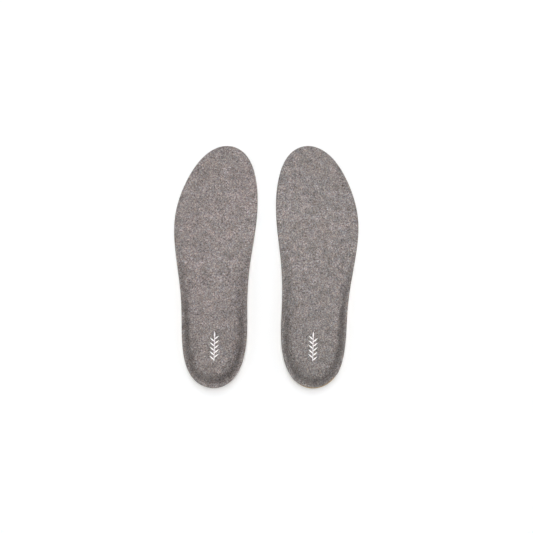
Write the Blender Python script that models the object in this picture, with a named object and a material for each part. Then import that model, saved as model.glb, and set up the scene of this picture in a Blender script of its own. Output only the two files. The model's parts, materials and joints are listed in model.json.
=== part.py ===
"""A pair of cushioned insoles. Each has a moulded foam footbed with a cupped heel, a felt cover held to it by
a thin bonding web, softer pads let into its underside and a printed sprig on the heel. It bends at the ball
of the foot. Lengths run from the heel's back (y = 0) to the toe, with the inner edge of the foot at -X."""

from math import acos, cos, pi, radians, sin

import bmesh
import bpy
import numpy as np
from mathutils import Matrix, Vector

MM = 0.001

# Size of one insole, and how the two lie side by side.
LENGTH = 275 * MM
CENTRE_SPACING = 115.6 * MM
LEFT_SETBACK = 2.0 * MM

# Plan and wall at each station: distance from the heel's back, inner edge x, outer edge x, height of the
# inner and outer wall above the tread, and how far in from the edge each wall's fillet ends, in mm.
STATIONS = (
    (15, -25.5, 26.3, 13.5, 13.5, 21, 20),
    (60, -36.7, 36.7, 12.0, 11.5, 21, 17),
    (100, -36.2, 38.7, 11.0, 8.5, 25, 15),
    (140, -38.3, 44.5, 6.0, 3.5, 20, 12),
    (165, -41.6, 47.9, 1.6, 0.4, 14, 12),
    (190, -44.7, 48.3, 0.0, 0.0, 12, 12),
    (230, -44.3, 37.5, 0.0, 0.0, 12, 12),
    (265, -31.3, 13.8, 0.0, 0.0, 12, 12),
)
HEEL = (0.0, 15.0, 24)
TOE = (-10.0, 0.0, 12)
# Flat rim on the wall at the heel's back: its width, and the y at which it has died out.
HEEL_RIM = (1.6 * MM, 16 * MM)

# Foam under the foot.
HEEL_FOAM = 6.5 * MM
FORE_FOAM = 4.5 * MM
FOAM_TAPER = (95 * MM, 185 * MM)
LIP = 3.0 * MM
TUCK_PER_HEIGHT = 0.45
WALL_WAIST = 0.31
WALL_POWER = 1.83

# Cover and bonding web.
GAP = 0.3 * MM
WEB_THICK = 0.3 * MM
COVER_THICK = 2.0 * MM
COVER_TRIM = 0.9 * MM

# Pads let into the underside: plan centre, half width, half length, turn and thickness.
HEEL_PAD = (0.5 * MM, 46 * MM, 20 * MM, 29 * MM, 0.0, 3.5 * MM)
BALL_PAD = (0.5 * MM, 213 * MM, 33 * MM, 15 * MM, radians(-14), 2.0 * MM)
PAD_RECESS = 0.3 * MM
PAD_SQUARENESS = 2.4
PAD_POINTS = 48

# Flex line across the ball of the foot, from its outer to its inner end.
FLEX_OUTER = (48.5 * MM, 173 * MM)
FLEX_INNER = (-45.0 * MM, 197 * MM)
FLEX_GAP = 0.3 * MM
FLEX_RISE = 0.8 * MM

# Printed sprig: a stem with leaves in turn on each side, and one at its tip.
MARK_START = 30 * MM
MARK_LENGTH = 34 * MM
MARK_THICK = 0.3 * MM
STEM_HALF = 0.35 * MM
LEAF_PAIRS = 5
LEAF_SPACING = 5.2 * MM
FIRST_LEAF = 1.5 * MM
LEAF_LENGTH = 6.4 * MM
LEAF_HALF = 0.6 * MM
LEAF_ANGLE = radians(50)
LEAF_STEPS = 6

# Mesh: rows from heel to toe, rings in from the edge, columns across the middle.
ROWS = 28
RINGS = (0.0, 0.7 * MM, 2.0 * MM, 3.7 * MM, 5.6 * MM, 8.0 * MM, 11.0 * MM)
COLUMNS = 4
SHARP_ANGLE = radians(40)
STEP = 1e-4

SIDES = {"left": -1, "right": 1}


def smooth(value, start, end):
    """Ease from 0 at start to 1 at end."""
    t = np.clip((value - start) / (end - start), 0, 1)
    return t * t * (3 - 2 * t)


def closed_spline(knots, values, at):
    """Periodic cubic spline over one turn, with continuous curvature."""
    count = len(knots)
    gaps = np.diff(np.append(knots, knots[0] + 2 * pi))
    slopes = np.diff(np.append(values, values[0])) / gaps
    system = np.zeros((count, count))
    target = np.zeros(count)
    for k in range(count):
        system[k, k - 1] += gaps[k]
        system[k, k] += 2 * (gaps[k - 1] + gaps[k])
        system[k, (k + 1) % count] += gaps[k - 1]
        target[k] = 3 * (gaps[k] * slopes[k - 1] + gaps[k - 1] * slopes[k])
    tangents = np.linalg.solve(system, target)
    at = np.mod(at, 2 * pi)
    k = np.searchsorted(knots, at, side="right") - 1
    after = (k + 1) % count
    t = (at - knots[k]) / gaps[k]
    ends = values[k] * (1 + 2 * t) * (1 - t) ** 2 + values[after] * t * t * (3 - 2 * t)
    return ends + gaps[k] * t * (1 - t) * (tangents[k] * (1 - t) - tangents[after] * t)


def station_curves():
    """Turn of each station round the edge, with its x, wall height and wall reach in metres."""
    turn_at = [acos(1 - 2 * y * MM / LENGTH) for y, *_ in STATIONS]
    outer = [(turn, *row[2::2]) for turn, row in zip(turn_at, STATIONS)]
    inner = [(2 * pi - turn, *row[1::2]) for turn, row in zip(turn_at, STATIONS)]
    table = [(0.0, *HEEL)] + outer + [(pi, *TOE)] + inner[::-1]
    turns, x, walls, reaches = np.array(table).T
    return turns, x * MM, walls * MM, reaches * MM


TURNS, EDGE_X, EDGE_WALL, EDGE_REACH = station_curves()


def edge(turn):
    """Plan of the trimmed edge: turn 0 at the heel's back, pi at the toe, the outer side first."""
    return np.stack([closed_spline(TURNS, EDGE_X, turn), LENGTH * (1 - np.cos(turn)) / 2], -1)


def inward(turn):
    """Unit vector in plan, square to the edge and into the insole."""
    along = edge(turn + STEP) - edge(turn - STEP)
    normal = np.stack([-along[..., 1], along[..., 0]], -1)
    return normal / np.linalg.norm(normal, axis=-1, keepdims=True)


def wall_height(turn):
    """Height of the rim above the tread."""
    return np.maximum(closed_spline(TURNS, EDGE_WALL, turn), 0)


def wall_reach(turn):
    """How far in from the edge the wall's fillet ends."""
    return closed_spline(TURNS, EDGE_REACH, turn)


def wall_profile(part):
    """Share of the wall's height left at a share of its reach: a rounded rim, a steep face and a long foot."""
    return (1 - part * part) ** 2 / (1 + (part / WALL_WAIST) ** WALL_POWER)


def tread_height(y):
    """Foam thickness under the foot."""
    return HEEL_FOAM + (FORE_FOAM - HEEL_FOAM) * smooth(y, *FOAM_TAPER)


def wall_part(turn, inset):
    """Share of the wall's fillet passed at an inset from the edge."""
    width, end = HEEL_RIM
    rim = width * (1 - smooth(edge(turn)[..., 1], 0, end))
    return np.clip((inset - rim) / (wall_reach(turn) - rim), 0, 1)


def foam_top(turn, inset):
    """Upper face of the foam, at an inset from the edge."""
    plan = edge(turn) + inward(turn) * inset[..., None]
    height = tread_height(plan[..., 1]) + wall_height(turn) * wall_profile(wall_part(turn, inset))
    return np.concatenate([plan, height[..., None]], -1)


def foam_base(turn, inset):
    """Under face of the foam: flat, and rounded up to the lip at the edge."""
    plan = edge(turn) + inward(turn) * inset[..., None]
    rise = tread_height(edge(turn)[..., 1]) + wall_height(turn) - LIP
    part = np.clip(1 - inset / (rise * TUCK_PER_HEIGHT), 0, 1)
    height = rise * (1 - np.sqrt(1 - part * part))
    return np.concatenate([plan, height[..., None]], -1)


def lifted(turn, inset, lift):
    """Foam top moved along its own normal."""
    here = foam_top(turn, inset)
    round_edge = foam_top(turn + STEP, inset) - foam_top(turn - STEP, inset)
    inwards = foam_top(turn, inset + STEP * MM) - here
    normal = np.cross(round_edge, inwards)
    return here + normal / np.linalg.norm(normal, axis=-1, keepdims=True) * lift


def face_points(shape, trim):
    """Points of one face of a layer: its rings, then the columns between the two sides of the last ring."""
    turn = np.arange(2 * ROWS) * pi / ROWS
    rings = [shape(turn, np.maximum(np.full(turn.shape, ring), trim)) for ring in RINGS]
    last = shape(turn, wall_reach(turn))
    points = list(np.concatenate(rings + [last]))
    for row in range(1, ROWS):
        for column in range(1, COLUMNS):
            points.append(last[row] + (last[-row] - last[row]) * column / COLUMNS)
    return points


def face_quads():
    """Faces over face_points, as corner numbers turning anticlockwise from above."""
    around = 2 * ROWS
    faces = []
    for ring in range(len(RINGS)):
        for k in range(around):
            a, b = ring * around + k, ring * around + (k + 1) % around
            faces.append((a, b, b + around, a + around))
    last = len(RINGS) * around

    def at(row, column):
        if column == 0 or row in (0, ROWS):
            return last + row
        if column == COLUMNS:
            return last + around - row
        return last + around + (row - 1) * (COLUMNS - 1) + column - 1

    for row in range(ROWS):
        for column in range(COLUMNS):
            corners = (at(row, column), at(row + 1, column), at(row + 1, column + 1), at(row, column + 1))
            faces.append(tuple(dict.fromkeys(corners)))
    return faces


def slab(lower, upper):
    """Closed body between two faces of the same layout."""
    body = bmesh.new()
    bottom = [body.verts.new(point) for point in lower]
    top = [body.verts.new(point) for point in upper]
    for corners in face_quads():
        body.faces.new([top[k] for k in corners])
        body.faces.new([bottom[k] for k in reversed(corners)])
    around = 2 * ROWS
    for k in range(around):
        after = (k + 1) % around
        body.faces.new((bottom[k], bottom[after], top[after], top[k]))
    return body


def flex_direction():
    """Plan direction of the flex line, from the inner side to the outer side."""
    return Vector((FLEX_OUTER[0] - FLEX_INNER[0], FLEX_OUTER[1] - FLEX_INNER[1], 0)).normalized()


def flex_pivot():
    """Middle of the flex line, just over the cover, so that the halves open and never meet."""
    height = FORE_FOAM + 2 * GAP + WEB_THICK + COVER_THICK + FLEX_RISE
    return Vector(((FLEX_OUTER[0] + FLEX_INNER[0]) / 2, (FLEX_OUTER[1] + FLEX_INNER[1]) / 2, height))


def cut_at_flex(body, forward):
    """Keep the part on one side of the flex line and close the cut."""
    along = flex_direction()
    across = Vector((-along.y, along.x, 0)) * forward
    body = body.copy()
    cut = bmesh.ops.bisect_plane(
        body,
        geom=body.verts[:] + body.edges[:] + body.faces[:],
        plane_co=flex_pivot() + across * FLEX_GAP / 2,
        plane_no=across,
        clear_inner=True,
    )
    rim = [item for item in cut["geom_cut"] if isinstance(item, bmesh.types.BMEdge)]
    bmesh.ops.holes_fill(body, edges=rim)
    return body


def prism(outline, low, high):
    """Closed body over a plan outline, between two heights."""
    body = bmesh.new()
    base = body.faces.new([body.verts.new((x, y, low)) for x, y in outline])
    raised = bmesh.ops.extrude_face_region(body, geom=[base])
    for item in raised["geom"]:
        if isinstance(item, bmesh.types.BMVert):
            item.co.z = high
    return body


def pad_outline(pad, grow):
    """Rounded oblong, turned about its centre."""
    x, y, half_width, half_length, turn, _ = pad
    outline = []
    for k in range(PAD_POINTS):
        angle = 2 * pi * k / PAD_POINTS
        power = 2 / PAD_SQUARENESS
        u = (half_width + grow) * abs(cos(angle)) ** power * (1 if cos(angle) >= 0 else -1)
        v = (half_length + grow) * abs(sin(angle)) ** power * (1 if sin(angle) >= 0 else -1)
        outline.append((x + u * cos(turn) - v * sin(turn), y + u * sin(turn) + v * cos(turn)))
    return outline


def pad_body(pad):
    return prism(pad_outline(pad, 0), PAD_RECESS, PAD_RECESS + pad[-1])


def pad_cutter(pad):
    return prism(pad_outline(pad, GAP), -LIP, PAD_RECESS + pad[-1] + GAP)


def leaf_edges(foot):
    """Along and across the leaf, from one foot out to the tip and back to the other."""
    points = []
    for k in range(-LEAF_STEPS, LEAF_STEPS + 1):
        part = 1 - abs(k) / LEAF_STEPS
        half = foot * (1 - part) + LEAF_HALF * sin(pi * part**0.8)
        points.append((LEAF_LENGTH * part, half * np.sign(k)))
    return points


def side_leaf(height, side):
    """Leaf on the stem's right (side 1) or left (side -1), from its lower to its upper foot."""
    points = []
    for along, across in leaf_edges(STEM_HALF * cos(LEAF_ANGLE)):
        x = STEM_HALF + along * sin(LEAF_ANGLE) - across * cos(LEAF_ANGLE)
        y = height + along * cos(LEAF_ANGLE) + across * sin(LEAF_ANGLE)
        points.append((side * x, MARK_START + y))
    return points


def sprig_outline():
    """Up the right side, round the leaf at the tip and down the left side."""
    right = [(STEM_HALF, MARK_START)]
    left = [(-STEM_HALF, MARK_START)]
    for k in range(LEAF_PAIRS):
        right += side_leaf(FIRST_LEAF + LEAF_SPACING * k, 1)
        left += side_leaf(FIRST_LEAF + LEAF_SPACING * (k + 0.5), -1)
    top = MARK_START + MARK_LENGTH - LEAF_LENGTH
    tip = [(-across, top + along) for along, across in leaf_edges(STEM_HALF)]
    return right + tip + left[::-1]


def material(name, color, roughness):
    made = bpy.data.materials.new(name)
    made.use_nodes = True
    shader = made.node_tree.nodes["Principled BSDF"]
    shader.inputs["Base Color"].default_value = (*color, 1)
    shader.inputs["Roughness"].default_value = roughness
    made.diffuse_color = (*color, 1)
    return made


def add(name, body, placing, surface):
    """Object from a body in insole coordinates, moved to its place in the pair."""
    bmesh.ops.transform(body, matrix=placing, verts=body.verts[:])
    bmesh.ops.recalc_face_normals(body, faces=body.faces[:])
    for line in body.edges:
        line.smooth = len(line.link_faces) == 2 and line.calc_face_angle() < SHARP_ANGLE
    for face in body.faces:
        face.smooth = True
    mesh = bpy.data.meshes.new(name)
    body.to_mesh(mesh)
    body.free()
    mesh.materials.append(surface)
    made = bpy.data.objects.new(name, mesh)
    bpy.context.scene.collection.objects.link(made)
    return made


def cut_pocket(obj, cutter):
    """Subtract a helper body. It stays in the file, hidden from the render."""
    cutter.hide_render = True
    cutter.display_type = "WIRE"
    pocket = obj.modifiers.new("pocket", "BOOLEAN")
    pocket.operation = "DIFFERENCE"
    pocket.solver = "EXACT"
    pocket.object = cutter


def empty(name, matrix, parent=None):
    made = bpy.data.objects.new(name, None)
    bpy.context.scene.collection.objects.link(made)
    made.empty_display_size = 20 * MM
    made.matrix_world = matrix
    bpy.context.view_layer.update()
    if parent:
        hang(made, parent)
    return made


def hang(obj, parent):
    """Parent without moving."""
    obj.parent = parent
    obj.matrix_parent_inverse = parent.matrix_world.inverted()


def clear_scene():
    for obj in list(bpy.data.objects):
        bpy.data.objects.remove(obj, do_unlink=True)


def centred_placing(side):
    """Insole coordinates to the pair's: the left one is mirrored, and the pair is centred on the origin."""
    turn = np.linspace(0, 2 * pi, 721)
    plan = edge(turn)
    middle = (plan[:, 0].max() + plan[:, 0].min()) / 2
    shift_x = CENTRE_SPACING / 2 - middle
    shift_y = -LENGTH / 2 + LEFT_SETBACK * (side / 2)
    mirror = Matrix.Diagonal((side, 1, 1, 1))
    return Matrix.Translation((side * shift_x, shift_y, 0)) @ mirror


def build_insole(name, side, surfaces, lift=None):
    placing = centred_placing(side)
    web_low = GAP
    cover_low = 2 * GAP + WEB_THICK
    foam = slab(face_points(foam_base, 0), face_points(foam_top, 0))
    web = slab(
        face_points(lambda turn, inset: lifted(turn, inset, web_low), COVER_TRIM),
        face_points(lambda turn, inset: lifted(turn, inset, web_low + WEB_THICK), COVER_TRIM),
    )
    cover = slab(
        face_points(lambda turn, inset: lifted(turn, inset, cover_low), COVER_TRIM),
        face_points(lambda turn, inset: lifted(turn, inset, cover_low + COVER_THICK), COVER_TRIM),
    )
    pivot = placing @ flex_pivot()
    along = (placing.to_3x3() @ flex_direction()) * side
    frame = Matrix.Translation(pivot) @ along.to_track_quat("X", "Z").to_matrix().to_4x4()
    flex = empty(f"{name}_flex_axis", frame, lift)
    halves = {"rear": (-1, lift, HEEL_PAD, "heel_pad"), "fore": (1, flex, BALL_PAD, "ball_pad")}
    for half, (forward, holder, pad, pad_name) in halves.items():
        pieces = [
            add(f"{name}_footbed_{half}", cut_at_flex(foam, forward), placing, surfaces["foam"]),
            add(f"{name}_web_{half}", cut_at_flex(web, forward), placing, surfaces["web"]),
            add(f"{name}_cover_{half}", cut_at_flex(cover, forward), placing, surfaces["felt"]),
            add(f"{name}_{pad_name}", pad_body(pad), placing, surfaces["pad"]),
            add(f"{name}_{pad_name}_pocket", pad_cutter(pad), placing, surfaces["pad"]),
        ]
        cut_pocket(pieces[0], pieces[-1])
        if half == "rear":
            low = HEEL_FOAM + cover_low + COVER_THICK + GAP / 2
            mark = prism(sprig_outline(), low, low + MARK_THICK)
            pieces.append(add(f"{name}_heel_mark", mark, placing, surfaces["print"]))
        for piece in pieces:
            if holder:
                hang(piece, holder)
    for body in (foam, web, cover):
        body.free()


clear_scene()
SURFACES = {
    "felt": material("grey_felt", (0.262, 0.231, 0.225), 0.95),
    "web": material("bonding_web", (0.75, 0.72, 0.66), 0.6),
    "foam": material("tan_foam", (0.52, 0.36, 0.19), 0.85),
    "pad": material("soft_pad", (0.35, 0.36, 0.37), 0.8),
    "print": material("white_print", (0.9, 0.9, 0.89), 0.5),
}
RIGHT_LIFT = empty("right_lift_axis", Matrix.Translation((CENTRE_SPACING / 2, -LENGTH / 4, 0)))
build_insole("left", SIDES["left"], SURFACES)
build_insole("right", SIDES["right"], SURFACES, RIGHT_LIFT)
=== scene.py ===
"""Looks for the pair of cushioned insoles: heathered felt over tan foam, on a pale studio floor."""

import json
from math import acos, cos, pi, radians, sin

import bpy
import numpy as np
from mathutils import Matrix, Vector


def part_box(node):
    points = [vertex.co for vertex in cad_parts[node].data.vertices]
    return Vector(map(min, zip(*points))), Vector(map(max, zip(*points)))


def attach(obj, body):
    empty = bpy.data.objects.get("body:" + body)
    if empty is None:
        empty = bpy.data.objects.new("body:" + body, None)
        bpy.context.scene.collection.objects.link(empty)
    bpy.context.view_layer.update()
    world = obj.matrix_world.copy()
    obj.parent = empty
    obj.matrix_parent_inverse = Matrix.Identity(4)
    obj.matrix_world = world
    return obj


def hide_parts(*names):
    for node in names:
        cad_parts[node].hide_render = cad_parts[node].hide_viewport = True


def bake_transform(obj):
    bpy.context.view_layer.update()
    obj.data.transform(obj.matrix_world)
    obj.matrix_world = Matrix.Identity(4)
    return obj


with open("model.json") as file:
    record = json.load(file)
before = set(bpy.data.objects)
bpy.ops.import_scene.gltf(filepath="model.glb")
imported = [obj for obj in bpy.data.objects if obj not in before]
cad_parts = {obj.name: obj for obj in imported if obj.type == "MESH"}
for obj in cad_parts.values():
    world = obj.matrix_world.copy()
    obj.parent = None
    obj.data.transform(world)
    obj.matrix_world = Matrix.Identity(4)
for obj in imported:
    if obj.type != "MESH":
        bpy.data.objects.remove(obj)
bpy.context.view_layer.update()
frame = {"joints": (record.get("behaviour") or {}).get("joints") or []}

MM = 0.001

# ---------------------------------------------------------------- shape, as in the CAD model
# Insole coordinates: y runs from the heel's back to the toe, with the inner edge at -X.
LENGTH = 275 * MM
# Distance from the heel's back, inner and outer edge x, inner and outer wall height above the tread, and
# inner and outer reach of the wall's fillet from the edge, in mm.
STATIONS = (
    (15, -25.5, 26.3, 13.5, 13.5, 21, 20),
    (60, -36.7, 36.7, 12.0, 11.5, 21, 17),
    (100, -36.2, 38.7, 11.0, 8.5, 25, 15),
    (140, -38.3, 44.5, 6.0, 3.5, 20, 12),
    (165, -41.6, 47.9, 1.6, 0.4, 14, 12),
    (190, -44.7, 48.3, 0.0, 0.0, 12, 12),
    (230, -44.3, 37.5, 0.0, 0.0, 12, 12),
    (265, -31.3, 13.8, 0.0, 0.0, 12, 12),
)
HEEL = (0.0, 15.0, 24)
TOE = (-10.0, 0.0, 12)
# Flat rim on the wall at the heel's back: its width, and the y at which it has died out.
HEEL_RIM = (1.6 * MM, 16 * MM)

# Layers: foam, bonding web and cover.
HEEL_FOAM = 6.5 * MM
FORE_FOAM = 4.5 * MM
FOAM_TAPER = (95 * MM, 185 * MM)
LIP = 3.0 * MM
TUCK_PER_HEIGHT = 0.45
WALL_WAIST = 0.31
WALL_POWER = 1.83
GAP = 0.3 * MM
WEB_THICK = 0.3 * MM
COVER_THICK = 2.0 * MM
COVER_LOW = 2 * GAP + WEB_THICK
WEB_TRIM = 0.9 * MM
STEP = 1e-4

# Pads: plan centre, half width, half length, turn and thickness.
HEEL_PAD = (0.5 * MM, 46 * MM, 20 * MM, 29 * MM, 0.0, 3.5 * MM)
BALL_PAD = (0.5 * MM, 213 * MM, 33 * MM, 15 * MM, radians(-14), 2.0 * MM)
PAD_RECESS = 0.3 * MM
PAD_SQUARENESS = 2.4
PAD_COUNT = 96

# Printed sprig: a stem with leaves in turn on each side, and one at its tip.
MARK_START = 30 * MM
MARK_LENGTH = 34 * MM
STEM_HALF = 0.35 * MM
LEAF_PAIRS = 5
LEAF_SPACING = 5.2 * MM
FIRST_LEAF = 1.5 * MM
LEAF_LENGTH = 6.4 * MM
LEAF_HALF = 0.6 * MM
LEAF_ANGLE = radians(50)
LEAF_STEPS = 10

# ---------------------------------------------------------------- finish of the visible pieces
# Shift of each insole's textures, in mm, so that the two differ.
GRAIN_SHIFT = 40.0
# Felt: how far it is trimmed inside the foam's edge at the back of each heel, the stretch of y over which
# that dies out, and how much later it does so on the outer side.
FELT_TRIM = {"left": 0.0, "right": 1.15 * MM}
TRIM_END = (2 * MM, 13 * MM)
TRIM_SKEW = 0.14
# Painted shade on the felt: share of its colour taken off in step with the wall's slope, and more painted
# shade on its inner wall, which fades out over a stretch of x.
WALL_SLOPE_PAINTED_SHADE = 0.45
INNER_WALL_PAINTED_SHADE = {"left": 0.18, "right": 0.09}
INNER_SHADE_FADE = (-15 * MM, 15 * MM)
FELT_TINT = {"left": (0.985, 0.985, 0.985), "right": (0.972, 0.990, 0.985)}
# Size and height of each layer of the felt's unevenness.
FELT_RELIEF = ((1.3 * MM, 0.06 * MM), (4.5 * MM, 0.09 * MM), (11 * MM, 0.12 * MM))
# Cut edge: a rounded side, and a lower face that turns down to the foam over a stretch of inset.
FELT_EDGE_ROUND = 0.25 * MM
FELT_SIDE = tuple((part, FELT_EDGE_ROUND * sin(pi * part)) for part in (0.15, 0.3, 0.5, 0.7, 0.85))
FELT_FOOT = (0.08 * MM, 0.3 * MM, 0.8 * MM)

# Side of the foam, from its lower to its upper rim: a rounded band with a moulded groove.
FOAM_SIDE = (
    (0.06, 0.08 * MM),
    (0.20, 0.17 * MM),
    (0.38, 0.20 * MM),
    (0.52, 0.17 * MM),
    (0.58, 0.05 * MM),
    (0.63, -0.18 * MM),
    (0.68, -0.18 * MM),
    (0.73, 0.05 * MM),
    (0.79, 0.14 * MM),
    (0.90, 0.13 * MM),
    (0.97, 0.06 * MM),
)
PRINT_THICK = 0.12 * MM
PRINT_SINK = 0.1 * MM
PRINT_STAND = PRINT_THICK + 0.15 * MM

# Underside: cross grooves about the flex line and a field of dimples under the arch.
GROOVES = (-26 * MM, -17 * MM, -8 * MM, 1 * MM, 41 * MM, 50 * MM, 59 * MM)
GROOVE_HALF = 1.6 * MM
GROOVE_DEPTH = 0.9 * MM
FLAT_BELOW = 0.01 * MM
DIMPLE_PITCH = 7 * MM
DIMPLE_HALF = 2.1 * MM
DIMPLE_DEPTH = 0.7 * MM
DIMPLE_ZONE = (88 * MM, 150 * MM)

# Ring grooves in the pads' undersides, and the rounding of the pads' edges.
RING_START = 3.5 * MM
RING_PITCH = 4.5 * MM
RING_HALF = 1.0 * MM
RING_DEPTH = 0.6 * MM
RING_STEPS = 60
PAD_EDGE = 0.6 * MM
PAD_MIDDLE = 1 * MM
PAD_BEVEL = 0.4 * MM
POCKET_BELOW = 5 * MM

# Hash that makes the felt's unevenness: large odd factors.
HASH = (73856093, 19349663, 83492791)
HASH_SEED = 2654435761
HASH_MIX = 1274126177

# Camera and light. The world is bright at the horizon and falls to DOME above the HORIZON stretch.
CAMERA_HEIGHT = 2.0
VIEW_WIDTH = 0.610
CAMERA_ROLL = radians(1.26)
CAMERA_AIM = (1.2 * MM, 0.25 * MM)
DOME = 0.19
HORIZON = (0.12, 0.25)
KEY = {"place": (0.0, 0.28, 8.0), "aim": (0.0, 0.0, 0.0), "size": (0.8, 2.52), "power": 364.0}
FILL = {"place": (0.0, 2.96, 8.0), "aim": (0.0, 0.0, 0.0), "size": (1.6, 2.4), "power": 150.0}
LEFT = {"place": (-4.5, 0.0, 7.5), "aim": (0.0, 0.0, 0.0), "size": (5.0, 4.0), "power": 50.0}
RIGHT = {"place": (4.5, 0.0, 7.5), "aim": (0.0, 0.0, 0.0), "size": (5.0, 4.0), "power": 52.0}
POOL = {"place": (0.0, 0.025, 2.0), "aim": (0.0, 0.025, 0.0), "size": (0.05, 0.05), "power": 0.055}
POOL_SPREAD = radians(11.4)
FLOOR_REACH = 3.0
PAPER = (0.949, 0.965, 0.986)


def smooth(value, start, end):
    """Ease from 0 at start to 1 at end."""
    t = np.clip((value - start) / (end - start), 0, 1)
    return t * t * (3 - 2 * t)


def closed_spline(knots, values, at):
    """Periodic cubic spline over one turn, with continuous curvature."""
    count = len(knots)
    gaps = np.diff(np.append(knots, knots[0] + 2 * pi))
    slopes = np.diff(np.append(values, values[0])) / gaps
    system = np.zeros((count, count))
    target = np.zeros(count)
    for k in range(count):
        system[k, k - 1] += gaps[k]
        system[k, k] += 2 * (gaps[k - 1] + gaps[k])
        system[k, (k + 1) % count] += gaps[k - 1]
        target[k] = 3 * (gaps[k] * slopes[k - 1] + gaps[k - 1] * slopes[k])
    tangents = np.linalg.solve(system, target)
    at = np.mod(at, 2 * pi)
    k = np.searchsorted(knots, at, side="right") - 1
    after = (k + 1) % count
    t = (at - knots[k]) / gaps[k]
    ends = values[k] * (1 + 2 * t) * (1 - t) ** 2 + values[after] * t * t * (3 - 2 * t)
    return ends + gaps[k] * t * (1 - t) * (tangents[k] * (1 - t) - tangents[after] * t)


def station_curves():
    """Turn of each station round the edge, with its x, wall height and wall reach in metres."""
    turn_at = [acos(1 - 2 * y * MM / LENGTH) for y, *_ in STATIONS]
    outer = [(turn, *row[2::2]) for turn, row in zip(turn_at, STATIONS)]
    inner = [(2 * pi - turn, *row[1::2]) for turn, row in zip(turn_at, STATIONS)]
    table = [(0.0, *HEEL)] + outer + [(pi, *TOE)] + inner[::-1]
    turns, x, walls, reaches = np.array(table).T
    return turns, x * MM, walls * MM, reaches * MM


TURNS, EDGE_X, EDGE_WALL, EDGE_REACH = station_curves()


def edge(turn):
    """Plan of the trimmed edge: turn 0 at the heel's back, pi at the toe, the outer side first."""
    return np.stack([closed_spline(TURNS, EDGE_X, turn), LENGTH * (1 - np.cos(turn)) / 2], -1)


def inward(turn):
    """Unit vector in plan, square to the edge and into the insole."""
    along = edge(turn + STEP) - edge(turn - STEP)
    normal = np.stack([-along[..., 1], along[..., 0]], -1)
    return normal / np.linalg.norm(normal, axis=-1, keepdims=True)


def wall_height(turn):
    """Height of the rim above the tread."""
    return np.maximum(closed_spline(TURNS, EDGE_WALL, turn), 0)


def wall_reach(turn):
    """How far in from the edge the wall's fillet ends."""
    return closed_spline(TURNS, EDGE_REACH, turn)


def wall_profile(part):
    """Share of the wall's height left at a share of its reach."""
    return (1 - part * part) ** 2 / (1 + (part / WALL_WAIST) ** WALL_POWER)


def tread_height(y):
    """Foam thickness under the foot."""
    return HEEL_FOAM + (FORE_FOAM - HEEL_FOAM) * smooth(y, *FOAM_TAPER)


def wall_part(turn, inset):
    """Share of the wall's fillet passed at an inset from the edge."""
    width, end = HEEL_RIM
    rim = width * (1 - smooth(edge(turn)[..., 1], 0, end))
    return np.clip((inset - rim) / (wall_reach(turn) - rim), 0, 1)


def foam_top(turn, inset):
    """Upper face of the foam, at an inset from the edge."""
    plan = edge(turn) + inward(turn) * inset[..., None]
    height = tread_height(plan[..., 1]) + wall_height(turn) * wall_profile(wall_part(turn, inset))
    return np.concatenate([plan, height[..., None]], -1)


def foam_base(turn, inset):
    """Under face of the foam: flat, and rounded up to the lip at the edge."""
    plan = edge(turn) + inward(turn) * inset[..., None]
    rise = tread_height(edge(turn)[..., 1]) + wall_height(turn) - LIP
    part = np.clip(1 - inset / (rise * TUCK_PER_HEIGHT), 0, 1)
    height = rise * (1 - np.sqrt(1 - part * part))
    return np.concatenate([plan, height[..., None]], -1)


def top_normal(turn, inset):
    """Unit normal of the foam's upper face."""
    round_edge = foam_top(turn + STEP, inset) - foam_top(turn - STEP, inset)
    inwards = foam_top(turn, inset + STEP * MM) - foam_top(turn, inset)
    normal = np.cross(round_edge, inwards)
    return normal / np.linalg.norm(normal, axis=-1, keepdims=True)


def lifted(turn, inset, lift):
    """Foam top moved along its own normal."""
    return foam_top(turn, inset) + top_normal(turn, inset) * lift


def grain(points, size, seed):
    """Smooth value noise from -1 to 1 at each point, with bumps of about the given size."""
    cell = points / size
    base = np.floor(cell).astype(np.int64)
    part = cell - base
    part = part * part * (3 - 2 * part)
    total = np.zeros(len(points))
    for corner in range(8):
        step = np.array((corner & 1, corner >> 1 & 1, corner >> 2 & 1))
        at = base + step
        mixed = seed * HASH_SEED ^ at[:, 0] * HASH[0] ^ at[:, 1] * HASH[1] ^ at[:, 2] * HASH[2]
        mixed = (mixed ^ (mixed >> 13)) * HASH_MIX
        value = ((mixed ^ (mixed >> 16)) & 0xFFFF) / 0x7FFF - 1
        total += value * np.prod(np.where(step, part, 1 - part), axis=1)
    return total


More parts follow.
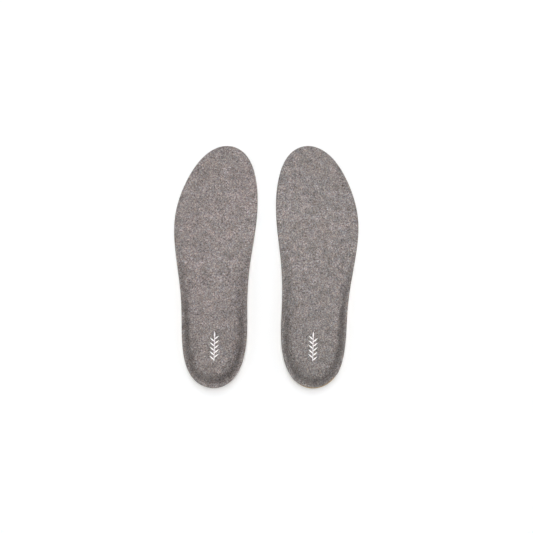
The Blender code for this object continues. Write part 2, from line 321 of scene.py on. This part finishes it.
class Layout:
    """Grid of one face of a layer: rings at shares of the wall's reach, then columns across."""

    def __init__(self, rows, rings, columns):
        self.rows = rows
        self.rings = rings
        self.columns = columns
        self.around = 2 * rows
        self.turn = np.arange(self.around) * pi / rows
        self.quads = self.face_quads()

    def points(self, shape, trim=0.0):
        """Points of the grid on a shape, which maps turn and inset to a place."""
        reach = wall_reach(self.turn)
        trim = trim + 0 * self.turn
        rings = [shape(self.turn, trim + ring * (reach - trim)) for ring in self.rings]
        last = shape(self.turn, reach)
        share = (np.arange(1, self.columns) / self.columns)[None, :, None]
        middle = last[1 : self.rows, None] * (1 - share) + last[: self.rows : -1, None] * share
        return np.concatenate(rings + [last, middle.reshape(-1, 3)])

    def face_quads(self):
        """Corner numbers, anticlockwise from above."""
        around, rows, columns = self.around, self.rows, self.columns
        k = np.arange(around)
        after = (k + 1) % around
        rings = []
        for ring in range(len(self.rings)):
            low, high = ring * around, (ring + 1) * around
            rings.append(np.stack([k + low, after + low, after + high, k + high], 1))
        last = len(self.rings) * around
        lattice = np.zeros((rows + 1, columns + 1), int)
        lattice[:, 0] = last + np.arange(rows + 1)
        lattice[1:, -1] = last + around - np.arange(1, rows + 1)
        lattice[0] = last
        lattice[-1] = last + rows
        inner = np.arange((rows - 1) * (columns - 1)).reshape(rows - 1, -1)
        lattice[1:-1, 1:-1] = last + around + inner
        middle = np.stack([lattice[:-1, :-1], lattice[1:, :-1], lattice[1:, 1:], lattice[:-1, 1:]], -1)
        return np.concatenate(rings + [middle.reshape(-1, 4)])


FINE = Layout(300, 0.012 * np.arange(21) + 0.0017 * np.arange(21) ** 2, 64)
COARSE = Layout(120, np.arange(0, 1, 0.1), 24)


class Insole:
    """One insole's name, side and place in the frame."""

    def __init__(self, name, side):
        self.name = name
        self.side = side
        turn = np.linspace(0, 2 * pi, 2001)
        plan = edge(turn) * (side, 1)
        boxes = [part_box(f"{name}_footbed_{half}") for half in ("rear", "fore")]
        low = np.min([box[0] for box in boxes], axis=0)
        high = np.max([box[1] for box in boxes], axis=0)
        self.shift = (low + high)[:2] / 2 - (plan.min(0) + plan.max(0)) / 2
        hinge = next(joint for joint in frame["joints"] if joint["name"] == f"{name}_flex")
        self.pivot = Vector(hinge["pos_m"])
        self.forward = Vector((0, 0, 1)).cross(Vector(hinge["axis"])).normalized()

    def to_frame(self, points):
        points = np.array(points, float)
        points[:, 0] *= self.side
        points[:, :2] += self.shift
        return points

    def past_flex(self, points):
        """Distance of insole points in front of the flex line."""
        away = self.to_frame(points) - np.array(self.pivot)
        return away @ np.array(self.forward)

    def mesh(self, name, points, faces):
        """Mesh object in the frame, from insole points and faces with outward normals."""
        keep = points.copy()
        points = self.to_frame(points)
        if self.side < 0:
            faces = [tuple(face)[::-1] for face in faces]
        made = new_mesh(f"{self.name}_{name}", points, faces)
        texture_place = keep / MM + (0, 0, GRAIN_SHIFT * self.side)
        rest = made.data.attributes.new("rest", "FLOAT_VECTOR", "POINT")
        rest.data.foreach_set("vector", texture_place.astype(np.float32).ravel())
        return made

    def bend(self, made):
        """Bake the piece's placement into its mesh."""
        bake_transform(made)


def new_mesh(name, points, faces):
    """Smooth-shaded mesh object. A corner that a face lists twice is dropped."""
    mesh = bpy.data.meshes.new(name)
    clean = [tuple(dict.fromkeys(int(corner) for corner in face)) for face in faces]
    mesh.from_pydata(np.asarray(points).tolist(), [], [face for face in clean if len(face) > 2])
    mesh.shade_smooth()
    mesh.update()
    made = bpy.data.objects.new(name, mesh)
    bpy.context.scene.collection.objects.link(made)
    return made


def slab(layout, lower, upper, side=()):
    """Closed layer between two faces. An entry of side is a share of its height and a step outwards."""
    around = layout.around
    k = np.arange(around)
    after = (k + 1) % around
    count = len(lower)
    points = [lower, upper]
    faces = [layout.quads[:, ::-1], layout.quads + count]
    below = k
    for loop, (part, out) in enumerate(side):
        ring = lower[:around] * (1 - part) + upper[:around] * part
        ring[:, :2] -= inward(layout.turn) * out
        points.append(ring)
        above = 2 * count + loop * around + k
        faces.append(np.stack([below, below[after], above[after], above], 1))
        below = above
    top = count + k
    faces.append(np.stack([below, below[after], top[after], top], 1))
    return np.concatenate(points), np.concatenate(faces)


# ---------------------------------------------------------------- materials
def new_material(name, color, roughness):
    made = bpy.data.materials.new(name)
    made.use_nodes = True
    shader = made.node_tree.nodes["Principled BSDF"]
    shader.inputs["Base Color"].default_value = (*color, 1)
    shader.inputs["Roughness"].default_value = roughness
    made.diffuse_color = (*color, 1)
    return made, made.node_tree, shader


def add_node(tree, kind, **settings):
    """New node. Settings name its properties, or its inputs by name."""
    made = tree.nodes.new(kind)
    for key, value in settings.items():
        if hasattr(made, key):
            setattr(made, key, value)
        else:
            made.inputs[key.replace("_", " ")].default_value = value
    return made


def rest_point(tree, size, turn=(0, 0, 0)):
    """Vector that follows the surface, in units of size (mm), turned first."""
    place = add_node(tree, "ShaderNodeAttribute", attribute_name="rest")
    turned = add_node(tree, "ShaderNodeVectorRotate", rotation_type="EULER_XYZ")
    turned.inputs["Rotation"].default_value = turn
    scaled = add_node(tree, "ShaderNodeVectorMath", operation="DIVIDE")
    scaled.inputs[1].default_value = size
    tree.links.new(place.outputs["Vector"], turned.inputs["Vector"])
    tree.links.new(turned.outputs[0], scaled.inputs[0])
    return scaled.outputs[0]


def noise(tree, size, detail=2.0, seed=0.0):
    made = add_node(tree, "ShaderNodeTexNoise", noise_dimensions="4D", Detail=detail, Scale=1.0)
    made.inputs["W"].default_value = seed
    tree.links.new(rest_point(tree, (size, size, size)), made.inputs["Vector"])
    return made.outputs["Fac"]


def flecks(tree, size, turn, seed):
    """Random value for each short fibre-like cell."""
    made = add_node(tree, "ShaderNodeTexVoronoi", voronoi_dimensions="4D", Scale=1.0)
    made.inputs["W"].default_value = seed
    made.inputs["Randomness"].default_value = 1.0
    tree.links.new(rest_point(tree, size, turn), made.inputs["Vector"])
    split = add_node(tree, "ShaderNodeSeparateColor")
    tree.links.new(made.outputs["Color"], split.inputs[0])
    return split.outputs[0], split.outputs[1]


def arith(tree, operation, *values):
    """Result of a math node on sockets or numbers."""
    made = add_node(tree, "ShaderNodeMath", operation=operation)
    for socket, value in zip(made.inputs, values):
        if isinstance(value, (int, float)):
            socket.default_value = value
        else:
            tree.links.new(value, socket)
    return made.outputs[0]


def ramp(tree, factor, stops):
    made = add_node(tree, "ShaderNodeValToRGB")
    while len(made.color_ramp.elements) < len(stops):
        made.color_ramp.elements.new(0.5)
    for element, (position, color) in zip(made.color_ramp.elements, stops):
        element.position = position
        element.color = (*color, 1)
    tree.links.new(factor, made.inputs[0])
    return made.outputs[0]


def blend_colors(tree, mode, factor, a, b):
    made = add_node(tree, "ShaderNodeMix", data_type="RGBA", blend_type=mode)
    for socket, value in ((made.inputs[0], factor), (made.inputs[6], a), (made.inputs[7], b)):
        if isinstance(value, bpy.types.NodeSocket):
            tree.links.new(value, socket)
        else:
            socket.default_value = value
    return made.outputs[2]


def bump(tree, shader, height, strength, distance):
    made = add_node(tree, "ShaderNodeBump", Strength=strength, Distance=distance)
    tree.links.new(height, made.inputs["Height"])
    tree.links.new(made.outputs[0], shader.inputs["Normal"])


# Fibre colours of the felt, darkest first, with the place of each on the scale of values.
FIBRES = (
    (0.05, (0.047, 0.039, 0.036)),
    (0.25, (0.108, 0.092, 0.088)),
    (0.50, (0.213, 0.191, 0.183)),
    (0.75, (0.341, 0.314, 0.302)),
    (0.95, (0.548, 0.513, 0.498)),
)
# Flecks: size of a fibre's cell in mm, the direction of each of the three layers, and how they are shared.
FLECK_SIZE = (0.48, 1.2, 1.0)
FLECK_TURNS = (0.2, 1.25, 2.3)
FLECK_SHARES = (0.34, 0.67)
FLECK_PATCH = 0.9
FLECK_SEED = 3.0
PATCH_SEED = 9.0
# Tufts lighten and darken the flecks in small clumps.
TUFT_SIZE = 1.7
TUFT_WEIGHT = 0.6
FLECK_WEIGHT = 0.53


def switch(tree, use, first, second):
    """The first value where use is 0, the second where it is 1."""
    kept = arith(tree, "MULTIPLY", first, arith(tree, "SUBTRACT", 1.0, use))
    return arith(tree, "ADD", kept, arith(tree, "MULTIPLY", second, use))


def fibre_values(tree):
    """Lightness and warmth of the fibres: three layers of flecks, each showing in its own patches."""
    layers = [flecks(tree, FLECK_SIZE, (0, 0, turn), FLECK_SEED + turn) for turn in FLECK_TURNS]
    pick = flecks(tree, (FLECK_PATCH, FLECK_PATCH, FLECK_PATCH), (0, 0, 0), PATCH_SEED)[0]
    value, warmth = layers[0]
    for share, (other, other_warmth) in zip(FLECK_SHARES, layers[1:]):
        use = arith(tree, "GREATER_THAN", pick, share)
        value = switch(tree, use, value, other)
        warmth = switch(tree, use, warmth, other_warmth)
    return value, warmth


def felt_material(name, tint):
    """Heathered felt: flecks of fibre in tufts, uneven dye, and painted shade that darkens it up the
    walls.
    """
    made, tree, shader = new_material(name, (0.215, 0.19, 0.183), 0.95)
    value, warmth = fibre_values(tree)
    tufts = arith(tree, "MULTIPLY_ADD", noise(tree, TUFT_SIZE, 0.0, 5.0), TUFT_WEIGHT, -TUFT_WEIGHT / 2)
    centred = arith(tree, "MULTIPLY_ADD", value, FLECK_WEIGHT, (1 - FLECK_WEIGHT) / 2)
    mixed = arith(tree, "ADD", centred, tufts)
    color = ramp(tree, mixed, FIBRES)
    hue = ramp(tree, warmth, ((0.0, (0.87, 0.99, 1.10)), (0.5, (1, 1, 1)), (1.0, (1.14, 0.99, 0.88))))
    color = blend_colors(tree, "MULTIPLY", 1.0, color, hue)
    dye = ramp(tree, noise(tree, 3.5, 1.0, 12.0), ((0.35, (0.98, 1.0, 1.02)), (0.65, (1.02, 1.0, 0.98))))
    color = blend_colors(tree, "MULTIPLY", 1.0, color, dye)
    shades = ((0.3, (0.77, 0.77, 0.77)), (0.7, (1.21, 1.21, 1.21)))
    shade = ramp(tree, noise(tree, 7.0, 2.0, 1.0), shades)
    color = blend_colors(tree, "MULTIPLY", 1.0, color, shade)
    color = blend_colors(tree, "MULTIPLY", 1.0, color, (*tint, 1))
    # Painted shade: the felt's colour is darkened by a share stored per point, which grows with the wall's
    # slope.
    painted_wall_shade = add_node(tree, "ShaderNodeAttribute", attribute_name="painted_wall_shade")
    unshaded_share = arith(tree, "SUBTRACT", 1.0, painted_wall_shade.outputs["Fac"])
    color = blend_colors(tree, "MULTIPLY", 1.0, color, unshaded_share)
    tree.links.new(color, shader.inputs["Base Color"])
    shader.inputs["Specular IOR Level"].default_value = 0.15
    bump(tree, shader, mixed, 0.25, 0.2 * MM)
    return made


def foam_material():
    """Cut tan foam, clouded, with small and larger pores."""
    made, tree, shader = new_material("foam", (0.36, 0.26, 0.13), 0.85)
    cloud = noise(tree, 6.0, 3.0, 2.0)
    color = ramp(tree, cloud, ((0.3, (0.33, 0.235, 0.115)), (0.7, (0.43, 0.315, 0.165))))
    for size, depth in ((0.7, 0.80), (1.7, 0.86)):
        cells = add_node(tree, "ShaderNodeTexVoronoi", Scale=1.0)
        tree.links.new(rest_point(tree, (size, size, size)), cells.inputs["Vector"])
        stops = ((0.12, (depth, depth * 0.98, depth * 0.95)), (0.4, (1, 1, 1)))
        pores = ramp(tree, cells.outputs["Distance"], stops)
        color = blend_colors(tree, "MULTIPLY", 1.0, color, pores)
    tree.links.new(color, shader.inputs["Base Color"])
    bump(tree, shader, noise(tree, 0.9, 3.0, 3.0), 0.5, 0.2 * MM)
    return made


def web_material():
    """Cloudy thermoplastic film."""
    made, tree, shader = new_material("web", (0.72, 0.69, 0.62), 0.5)
    threads = noise(tree, 1.2, 4.0, 7.0)
    color = ramp(tree, threads, ((0.35, (0.62, 0.58, 0.50)), (0.65, (0.80, 0.77, 0.70))))
    tree.links.new(color, shader.inputs["Base Color"])
    return made


def pad_material():
    """Dark grey soft rubber foam."""
    made, tree, shader = new_material("pad", (0.26, 0.27, 0.27), 0.6)
    cloud = noise(tree, 3.0, 4.0, 4.0)
    color = ramp(tree, cloud, ((0.3, (0.23, 0.24, 0.24)), (0.7, (0.29, 0.30, 0.30))))
    tree.links.new(color, shader.inputs["Base Color"])
    bump(tree, shader, noise(tree, 0.5, 2.0, 6.0), 0.3, 0.1 * MM)
    return made


def print_material():
    """White printing ink, slightly worn."""
    made, tree, shader = new_material("print", (0.86, 0.86, 0.855), 0.5)
    worn = noise(tree, 0.7, 3.0, 8.0)
    color = ramp(tree, worn, ((0.3, (0.78, 0.78, 0.775)), (0.6, (0.90, 0.90, 0.895))))
    tree.links.new(color, shader.inputs["Base Color"])
    bump(tree, shader, worn, 0.4, 0.1 * MM)
    return made


# ---------------------------------------------------------------- pieces
def felt_relief(points):
    """Height of the felt's own unevenness. Callers shift z by the side, so that the two felts differ."""
    return sum(grain(points, size, k + 1) * height for k, (size, height) in enumerate(FELT_RELIEF))


def felt_trim(insole):
    """Inset of the felt from the foam's edge, round the insole: it holds at the heel's back only."""
    x, y = edge(FINE.turn).T
    return FELT_TRIM[insole.name] * (1 - smooth(y - TRIM_SKEW * x, *TRIM_END))


def felt_foot(inset):
    """Height of the felt's lower face over the foam: it turns down outside the bonding web."""
    low, start, end = FELT_FOOT
    return (low + (COVER_LOW - low) * smooth(inset, start, end))[..., None]


def felt_cover(insole, surface):
    """Felt with a cut edge, laid over the foam. Painted shade from its slope is stored for the material.
    """
    trim = felt_trim(insole)
    lower = FINE.points(lambda turn, inset: lifted(turn, inset, felt_foot(inset)), trim)
    upper = FINE.points(lambda turn, inset: lifted(turn, inset, COVER_LOW + COVER_THICK), trim)
    relief = felt_relief(upper + (0, 0, insole.side))
    upper[:, 2] += relief
    upper[: FINE.around, 2] -= FELT_EDGE_ROUND
    points, faces = slab(FINE, lower, upper, FELT_SIDE)
    made = insole.mesh("felt_cover", points, faces)
    made.data.materials.append(surface)
    normal = FINE.points(top_normal, trim)
    # Painted shade: a share of the colour taken off in step with the wall's slope, more on the inner wall.
    inner_painted_shade = INNER_WALL_PAINTED_SHADE[insole.name] * (1 - smooth(lower[:, 0], *INNER_SHADE_FADE))
    painted_darkening = WALL_SLOPE_PAINTED_SHADE * (1 - normal[:, 2]) + inner_painted_shade * np.hypot(normal[:, 0], normal[:, 1])
    painted_wall_shade = made.data.attributes.new("painted_wall_shade", "FLOAT", "POINT")
    painted_wall_shade.data.foreach_set("value", np.resize(painted_darkening, len(points)).astype(np.float32))
    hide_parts(f"{insole.name}_cover_rear", f"{insole.name}_cover_fore")
    insole.bend(made)


def bond_web(insole, surface):
    """Film between felt and foam."""
    lower = COARSE.points(lambda turn, inset: lifted(turn, inset, GAP), WEB_TRIM)
    upper = COARSE.points(lambda turn, inset: lifted(turn, inset, GAP + WEB_THICK), WEB_TRIM)
    made = insole.mesh("bond_web", *slab(COARSE, lower, upper))
    made.data.materials.append(surface)
    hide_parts(f"{insole.name}_web_rear", f"{insole.name}_web_fore")
    insole.bend(made)


def underside_relief(insole, points):
    """Depth of the moulded grooves and dimples over the flat of the underside."""
    past = insole.past_flex(points)
    flat = points[:, 2] < FLAT_BELOW
    depth = np.zeros(len(points))
    for groove in GROOVES:
        depth = np.maximum(depth, GROOVE_DEPTH * (1 - smooth(np.abs(past - groove), 0, GROOVE_HALF)))
    row_pitch = DIMPLE_PITCH * sin(pi / 3)
    row = np.round(points[:, 1] / row_pitch)
    row_y = row * row_pitch
    across = points[:, 0] / DIMPLE_PITCH + 0.5 * (row % 2)
    off_x = (across - np.round(across)) * DIMPLE_PITCH
    away = np.hypot(off_x, points[:, 1] - row_y)
    zone = (row_y > DIMPLE_ZONE[0]) & (row_y < DIMPLE_ZONE[1])
    dimple = DIMPLE_DEPTH * (1 - smooth(away, 0, DIMPLE_HALF)) * zone
    return np.maximum(depth, dimple) * flat


def pad_outline(pad, grow, count):
    """Rounded oblong, turned about its centre."""
    x, y, half_width, half_length, turn, _ = pad
    angle = 2 * pi * np.arange(count) / count
    power = 2 / PAD_SQUARENESS
    u = (half_width + grow) * np.abs(np.cos(angle)) ** power * np.sign(np.cos(angle))
    v = (half_length + grow) * np.abs(np.sin(angle)) ** power * np.sign(np.sin(angle))
    return np.stack([x + u * cos(turn) - v * sin(turn), y + u * sin(turn) + v * cos(turn)], 1)


def stacked(rings):
    """Points and faces of a closed body from stacked outlines, capped to a point at each end."""
    count = len(rings[0])
    points = np.concatenate(rings + [rings[0].mean(0)[None], rings[-1].mean(0)[None]])
    k = np.arange(count)
    after = (k + 1) % count
    faces = []
    for ring in range(len(rings) - 1):
        low, high = ring * count, (ring + 1) * count
        faces.append(np.stack([k + low, after + low, after + high, k + high], 1))
    first, last = len(rings) * count, len(rings) * count + 1
    top = (len(rings) - 1) * count
    faces.append(np.stack([k, np.full(count, first), after, after], 1))
    faces.append(np.stack([k + top, after + top, np.full(count, last), np.full(count, last)], 1))
    return points, np.concatenate(faces)


def pad_rings(pad, profile):
    """Outlines of a pad: profile lists how far each is inside the pad's edge, and its height."""
    rings = []
    for inset, height in profile:
        outline = pad_outline(pad, -inset, PAD_COUNT)
        rings.append(np.column_stack([outline, np.full(PAD_COUNT, height)]))
    return rings


def pad_profile(pad):
    """From the middle of the pad's underside, out over its ring grooves, and up to its top."""
    low = PAD_RECESS
    high = PAD_RECESS + pad[-1]
    middle = min(pad[2], pad[3]) - PAD_MIDDLE
    profile = []
    grooves = np.arange(RING_START, middle - PAD_MIDDLE, RING_PITCH)
    for inset in np.linspace(middle, PAD_EDGE, RING_STEPS):
        dip = np.max(1 - smooth(np.abs(grooves - inset), 0, RING_HALF)) * RING_DEPTH
        profile.append((inset, low + dip))
    profile += [(0.3 * MM, low + 0.08 * MM), (0.08 * MM, low + 0.3 * MM), (0, low + PAD_EDGE)]
    profile += [(0, high - PAD_BEVEL), (PAD_BEVEL, high), (middle, high)]
    return profile


def cushion_pad(insole, name, node, pad, surface):
    """Soft pad with ring grooves in its underside."""
    points, faces = stacked(pad_rings(pad, pad_profile(pad)))
    made = insole.mesh(name, points, faces)
    made.data.materials.append(surface)
    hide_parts(f"{insole.name}_{node}")
    return made


def cut_pocket(made, insole, pad):
    """Cut the pad's pocket out of the footbed."""
    high = PAD_RECESS + pad[-1] + GAP
    points, faces = stacked(pad_rings(pad, ((-GAP, -POCKET_BELOW), (-GAP, high))))
    cutter = insole.mesh("cutter", points, faces)
    cut = made.modifiers.new("pocket", "BOOLEAN")
    cut.operation = "DIFFERENCE"
    cut.solver = "EXACT"
    cut.object = cutter
    bpy.context.view_layer.objects.active = made
    bpy.ops.object.modifier_apply(modifier=cut.name)
    bpy.data.objects.remove(cutter, do_unlink=True)


def foam_footbed(insole, surface):
    """Moulded foam, with grooves and dimples under it and pockets for the pads."""
    lower = FINE.points(foam_base)
    lower[:, 2] += underside_relief(insole, lower)
    upper = FINE.points(foam_top)
    made = insole.mesh("foam_footbed", *slab(FINE, lower, upper, FOAM_SIDE))
    made.data.materials.append(surface)
    for pad in (HEEL_PAD, BALL_PAD):
        cut_pocket(made, insole, pad)
    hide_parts(f"{insole.name}_footbed_rear", f"{insole.name}_footbed_fore")
    insole.bend(made)


def leaf_edges(foot):
    """Along and across the leaf, from one foot out to the tip and back to the other."""
    points = []
    for k in range(-LEAF_STEPS, LEAF_STEPS + 1):
        part = 1 - abs(k) / LEAF_STEPS
        half = foot * (1 - part) + LEAF_HALF * sin(pi * part**0.8)
        points.append((LEAF_LENGTH * part, half * np.sign(k)))
    return points


def side_leaf(height, side):
    """Leaf on the stem's right (side 1) or left (side -1), from its lower to its upper foot."""
    points = []
    for along, across in leaf_edges(STEM_HALF * cos(LEAF_ANGLE)):
        x = STEM_HALF + along * sin(LEAF_ANGLE) - across * cos(LEAF_ANGLE)
        y = height + along * cos(LEAF_ANGLE) + across * sin(LEAF_ANGLE)
        points.append((side * x, MARK_START + y))
    return points


def sprig_outline():
    """Up the right side, round the leaf at the tip and down the left side."""
    right = [(STEM_HALF, MARK_START)]
    left = [(-STEM_HALF, MARK_START)]
    for k in range(LEAF_PAIRS):
        right += side_leaf(FIRST_LEAF + LEAF_SPACING * k, 1)
        left += side_leaf(FIRST_LEAF + LEAF_SPACING * (k + 0.5), -1)
    top = MARK_START + MARK_LENGTH - LEAF_LENGTH
    tip = [(-across, top + along) for along, across in leaf_edges(STEM_HALF)]
    return right + tip + left[::-1]


def heel_print(insole, surface):
    """Flat print that follows the felt under it."""
    outline = np.array(sprig_outline())
    count = len(outline)
    top = HEEL_FOAM + COVER_LOW + COVER_THICK
    base = np.column_stack([outline, np.full(count, top)])
    base[:, 2] += felt_relief(base + (0, 0, insole.side)) - PRINT_SINK
    face = base + (0, 0, PRINT_STAND)
    k = np.arange(count)
    after = (k + 1) % count
    sides = np.stack([k, after, after + count, k + count], 1).tolist()
    faces = [list(range(count))[::-1], list(range(count, 2 * count))] + sides
    made = insole.mesh("heel_print", np.concatenate([base, face]), faces)
    made.data.shade_flat()
    made.data.materials.append(surface)
    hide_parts(f"{insole.name}_heel_mark")
    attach(made, f"{insole.name}_rear")


def build_insole(insole, surfaces):
    """All the visible pieces of one insole."""
    foam_footbed(insole, surfaces["foam"])
    bond_web(insole, surfaces["web"])
    felt_cover(insole, felt_material(f"{insole.name}_felt", FELT_TINT[insole.name]))
    heel = cushion_pad(insole, "heel_cushion", "heel_pad", HEEL_PAD, surfaces["pad"])
    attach(heel, f"{insole.name}_rear")
    insole.bend(cushion_pad(insole, "ball_cushion", "ball_pad", BALL_PAD, surfaces["pad"]))
    heel_print(insole, surfaces["print"])


# ---------------------------------------------------------------- studio
def area_light(name, place, aim, size, power):
    data = bpy.data.lights.new(name, "AREA")
    data.shape = "RECTANGLE"
    data.size, data.size_y = size
    data.energy = power
    made = bpy.data.objects.new(name, data)
    made.location = place
    made.rotation_euler = (Vector(aim) - Vector(place)).to_track_quat("-Z", "Y").to_euler()
    made.visible_camera = False
    bpy.context.scene.collection.objects.link(made)
    return made


def studio():
    """White paper floor under soft light, with a faint pool of light on the insoles alone."""
    world = bpy.data.worlds.new("studio")
    world.use_nodes = True
    tree = world.node_tree
    tree.nodes["Background"].inputs["Color"].default_value = (1, 1, 1, 1)
    split = add_node(tree, "ShaderNodeSeparateXYZ")
    fall = add_node(tree, "ShaderNodeMapRange", interpolation_type="SMOOTHSTEP", To_Min=1.0, To_Max=DOME)
    fall.inputs["From Min"].default_value, fall.inputs["From Max"].default_value = HORIZON
    tree.links.new(add_node(tree, "ShaderNodeTexCoord").outputs["Generated"], split.inputs[0])
    tree.links.new(split.outputs["Z"], fall.inputs["Value"])
    tree.links.new(fall.outputs["Result"], tree.nodes["Background"].inputs["Strength"])
    bpy.context.scene.world = world
    area_light("overhead_softbox", **KEY)
    area_light("toe_softbox", **FILL)
    area_light("left_softbox", **LEFT)
    area_light("right_softbox", **RIGHT)
    pool = area_light("centre_pool", **POOL)
    pool.data.spread = POOL_SPREAD
    reach = FLOOR_REACH
    corners = [(-reach, -reach, 0), (reach, -reach, 0), (reach, reach, 0), (-reach, reach, 0)]
    floor = new_mesh("floor", corners, [(0, 1, 2, 3)])
    floor.data.materials.append(new_material("paper", PAPER, 0.9)[0])
    unlit = bpy.data.collections.new("outside_the_pool")
    unlit.objects.link(floor)
    unlit.collection_objects[0].light_linking.link_state = "EXCLUDE"
    pool.light_linking.receiver_collection = unlit
    view = bpy.context.scene.view_settings
    view.view_transform = "Standard"
    view.look = "None"


def camera():
    """Straight above the pair, turned a little."""
    data = bpy.data.cameras.new("camera")
    data.sensor_width = 36
    data.lens = data.sensor_width * CAMERA_HEIGHT / VIEW_WIDTH
    data.clip_end = 20
    made = bpy.data.objects.new("camera", data)
    made.location = (*CAMERA_AIM, CAMERA_HEIGHT)
    made.rotation_euler = (0, 0, CAMERA_ROLL)
    bpy.context.scene.collection.objects.link(made)
    bpy.context.scene.camera = made


camera()
studio()
SURFACES = {
    "foam": foam_material(),
    "web": web_material(),
    "pad": pad_material(),
    "print": print_material(),
}
for NAME, SIDE in (("left", -1), ("right", 1)):
    build_insole(Insole(NAME, SIDE), SURFACES)
